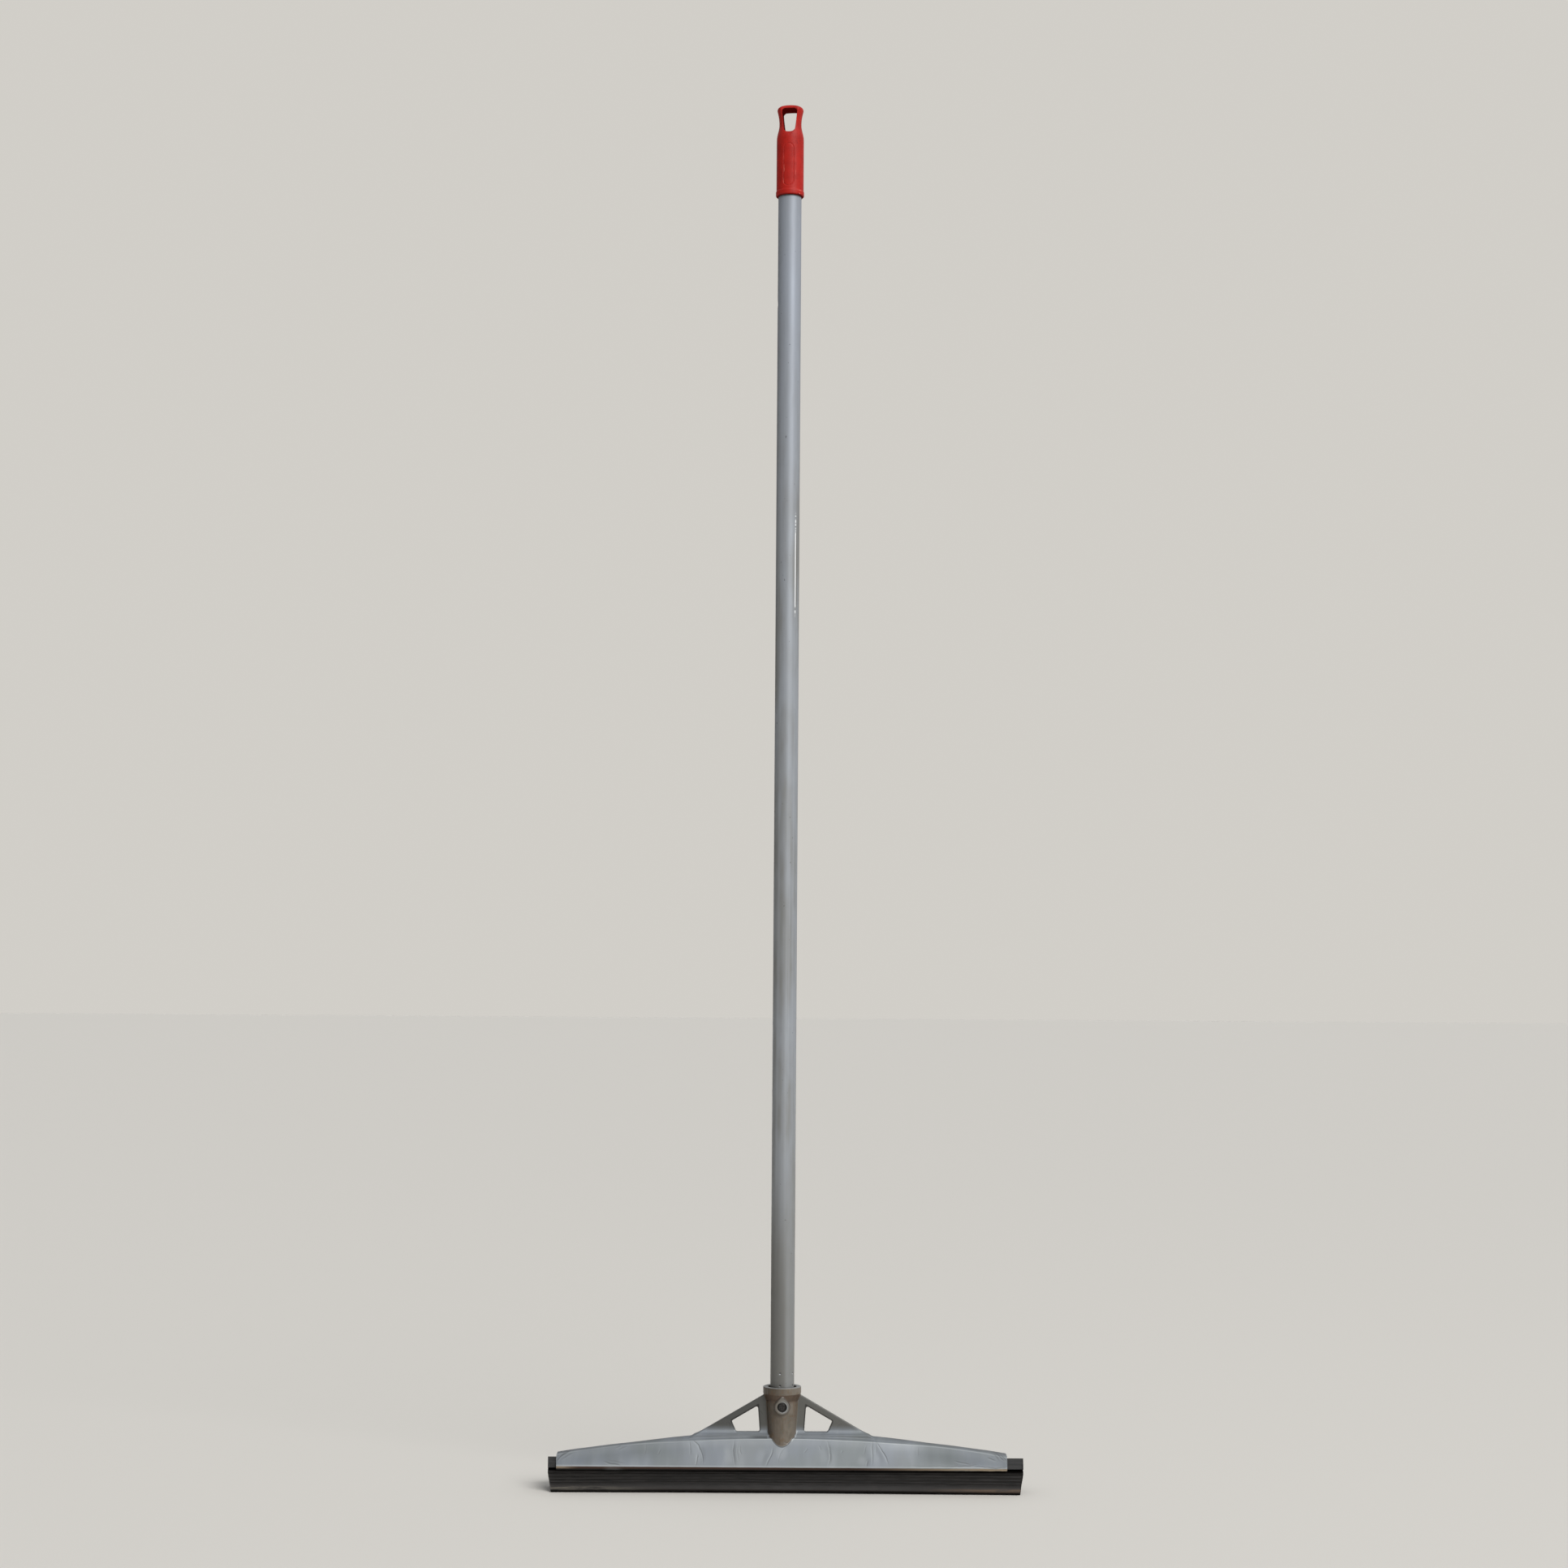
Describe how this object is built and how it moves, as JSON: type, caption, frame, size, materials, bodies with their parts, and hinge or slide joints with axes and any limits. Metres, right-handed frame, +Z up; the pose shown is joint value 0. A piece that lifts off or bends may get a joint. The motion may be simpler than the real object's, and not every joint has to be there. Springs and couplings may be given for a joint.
{
  "type": "floor squeegee",
  "caption": "Hand tool with a long round handle, a hanging grip and a moulded head that holds a double-lip rubber for pushing water off floors.",
  "frame": {"origin": "on the floor under the handle's axis, at the middle of the head", "axes": "+Z up the handle, X along the rubber, and the clamp screw faces -Y"},
  "size_m": [0.435, 0.044, 1.299],
  "materials": {
    "head_plastic": "satin silver-grey moulding with flow lines",
    "black_rubber": "matte",
    "plug_plastic": "satin",
    "tube_paint": "satin silver paint",
    "grip_plastic": "semi-matte red",
    "screw_steel": "dark zinc"
  },
  "bodies": {
    "head": {"head_frame": "head_plastic"},
    "rubber": {"rubber_blade": "black_rubber"},
    "handle": {"handle_tube": "tube_paint", "thread_plug": "plug_plastic", "hanging_grip": "grip_plastic"},
    "screw": {"clamp_screw": "screw_steel"}
  },
  "joints": [
    {"name": "handle_lift", "type": "slide", "parent": "head", "child": "handle", "axis": [0, 0, 1], "range_m": [0, 0.045]},
    {"name": "rubber_slide", "type": "slide", "parent": "head", "child": "rubber", "axis": [1, 0, 0], "range_m": [0, 0.43]},
    {"name": "screw_turn", "type": "hinge", "parent": "head", "child": "screw", "pos_m": [0, -0.013, 0.0775], "axis": [0, -1, 0], "range_deg": [0, 720]}
  ]
}
